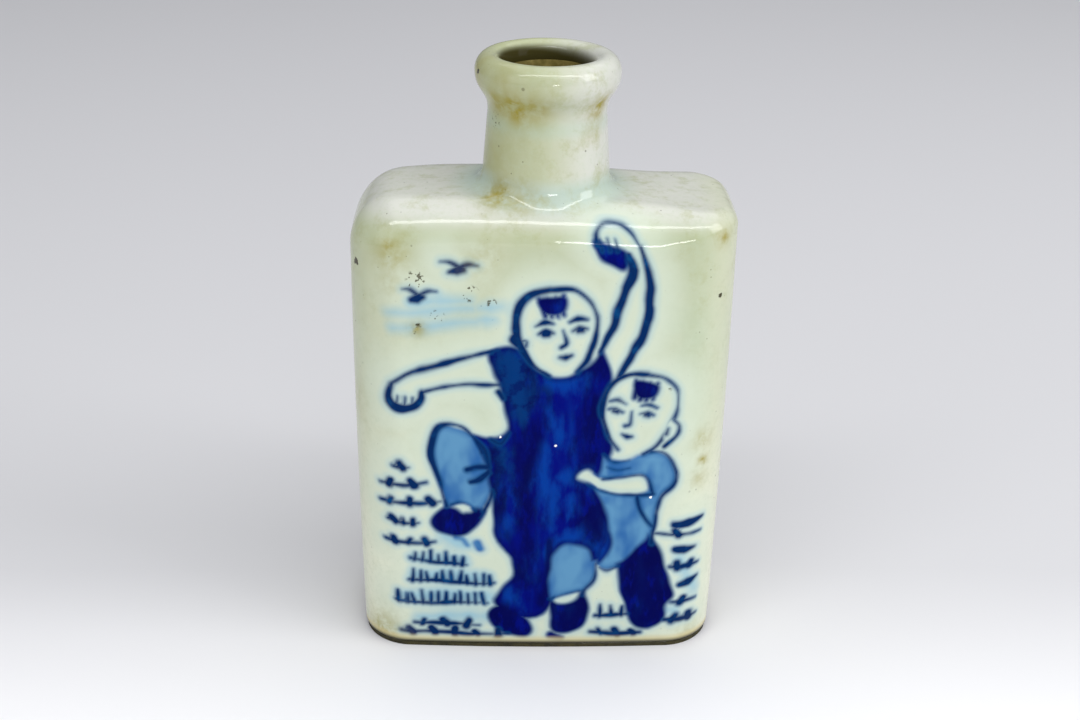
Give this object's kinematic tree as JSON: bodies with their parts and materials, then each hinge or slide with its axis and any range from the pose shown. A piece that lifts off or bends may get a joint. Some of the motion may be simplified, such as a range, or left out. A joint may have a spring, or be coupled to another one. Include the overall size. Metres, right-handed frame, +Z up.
{
  "type": "snuff bottle",
  "caption": "Flat rectangular porcelain snuff bottle, open and empty, with rounded shoulders, a short round neck and a rolled lip, painted in underglaze blue with playing children.",
  "frame": {"origin": "middle of the underside, on the surface that the bottle stands on", "axes": "+Z up through the neck, X along the broad faces, the painted broad face towards -Y"},
  "size_m": [0.0408, 0.0196, 0.0664],
  "materials": {
    "porcelain": "glossy greenish white glaze over white clay"
  },
  "bodies": {
    "root": {"bottle": "porcelain"}
  },
  "joints": []
}
